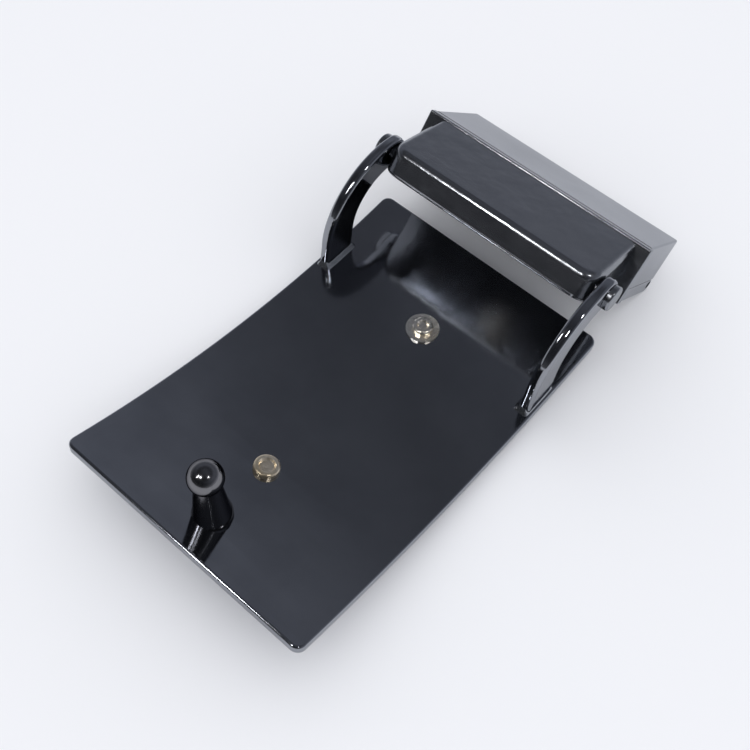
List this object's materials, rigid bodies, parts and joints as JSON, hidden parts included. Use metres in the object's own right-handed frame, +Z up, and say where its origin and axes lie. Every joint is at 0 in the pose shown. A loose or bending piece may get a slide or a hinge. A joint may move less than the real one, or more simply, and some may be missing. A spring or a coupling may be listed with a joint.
{
  "type": "reversible belt buckle",
  "caption": "Plate belt buckle with a bowed rectangular plate, hook stud, two curled arms and a hinged swivelling strap clamp with a toothed locking flap.",
  "frame": {"origin": "middle of the footprint on the floor the buckle stands on, face down", "axes": "+X from the stud end towards the strap clamp, +Y across the plate, +Z up out of the plate's back (wearer's) side"},
  "size_m": [0.0842, 0.0408, 0.0195],
  "materials": {
    "plated_black": "polished black nickel plate on zinc alloy",
    "plaque_metal": "brushed black nickel plate on zinc alloy",
    "bare_rivet": "bare peened metal",
    "spring_steel": "bright steel"
  },
  "bodies": {
    "plate": {"buckle_plate": "plated_black", "front_plaque": "plaque_metal", "plaque_rivets": "bare_rivet", "rivet_washer": "bare_rivet", "hook_stud": "plated_black", "left_arm": "plated_black", "right_arm": "plated_black", "left_arm_braze": "plated_black", "right_arm_braze": "plated_black"},
    "bracket": {"hinge_pins": "plated_black", "swivel_bracket": "plated_black", "bracket_cover": "plated_black", "post_spring": "spring_steel", "swivel_washer": "spring_steel"},
    "slider": {"thrust_washer": "spring_steel"},
    "clamp": {"swivel_post": "spring_steel", "retaining_clip": "spring_steel", "clamp_case": "plated_black", "flap_pin": "plated_black"},
    "flap": {"clamp_flap": "plated_black"}
  },
  "joints": [
    {"name": "clamp_hinge", "type": "hinge", "parent": "plate", "child": "bracket", "pos_m": [0.01902, 0, 0.01585], "axis": [0, 1, 0], "range_deg": [-150, 30]},
    {"name": "swivel_pull", "type": "slide", "parent": "bracket", "child": "slider", "axis": [0.809, 0, -0.5878], "range_m": [0, 0.001], "stiffness_N_per_m": 300, "springref_m": -0.0015, "deforming": ["post_spring"]},
    {"name": "swivel_turn", "type": "hinge", "parent": "slider", "child": "clamp", "pos_m": [0.02791, 0, 0.01167], "axis": [0.809, 0, -0.5878], "range_deg": [0, 180]},
    {"name": "flap_open", "type": "hinge", "parent": "clamp", "child": "flap", "pos_m": [0.03673, 0, 0.0011], "axis": [0, -1, 0], "range_deg": [0, 90]}
  ]
}
